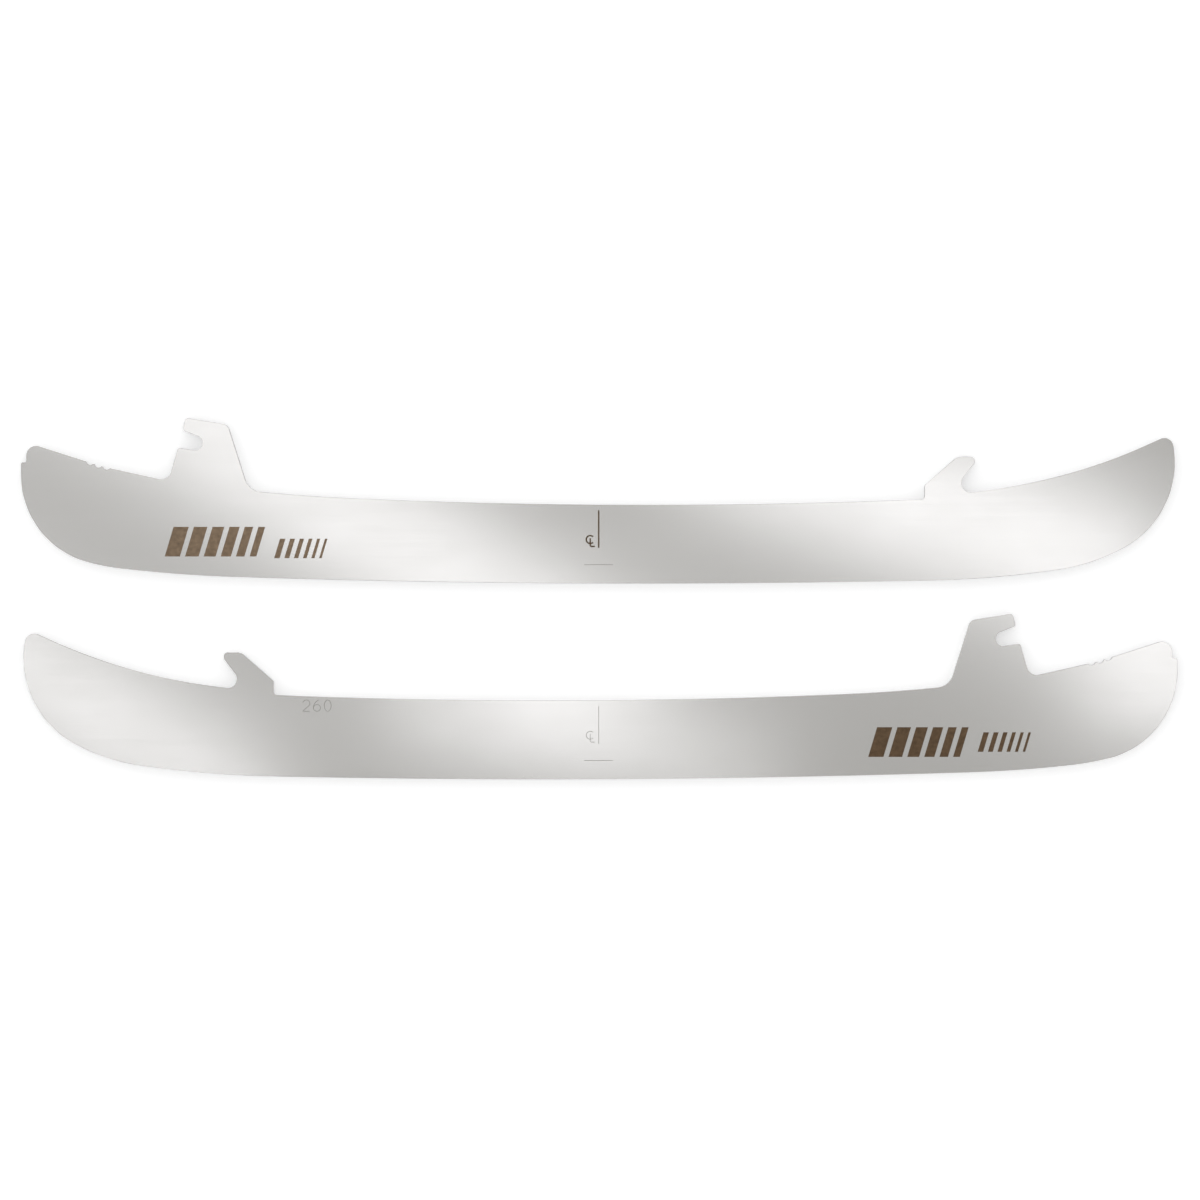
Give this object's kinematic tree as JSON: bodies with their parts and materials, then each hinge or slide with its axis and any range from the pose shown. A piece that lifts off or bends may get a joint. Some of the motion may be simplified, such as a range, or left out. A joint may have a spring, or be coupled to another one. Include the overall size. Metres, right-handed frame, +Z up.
{
  "type": "hockey skate runners",
  "caption": "Polished steel hockey skate runners lying side by side: rockered ice edge, front hook and slotted rear tab that clip into a blade holder.",
  "frame": {"origin": "centre of the pair's footprint, on the surface that both runners lie on", "axes": "+X along the runners, toward the right runner's toe; +Y across them, away from the ice edges; +Z up, out of the plates"},
  "size_m": [0.2726, 0.0852, 0.003],
  "materials": {
    "polished_steel": "mirror polished sides, ground edges"
  },
  "bodies": {
    "right_runner": {"right_runner": "polished_steel"},
    "left_runner": {"left_runner": "polished_steel"}
  },
  "joints": [
    {"name": "left_runner_apart", "type": "slide", "parent": "right_runner", "child": "left_runner", "axis": [0, -1, 0], "range_m": [0, 0.12]}
  ]
}
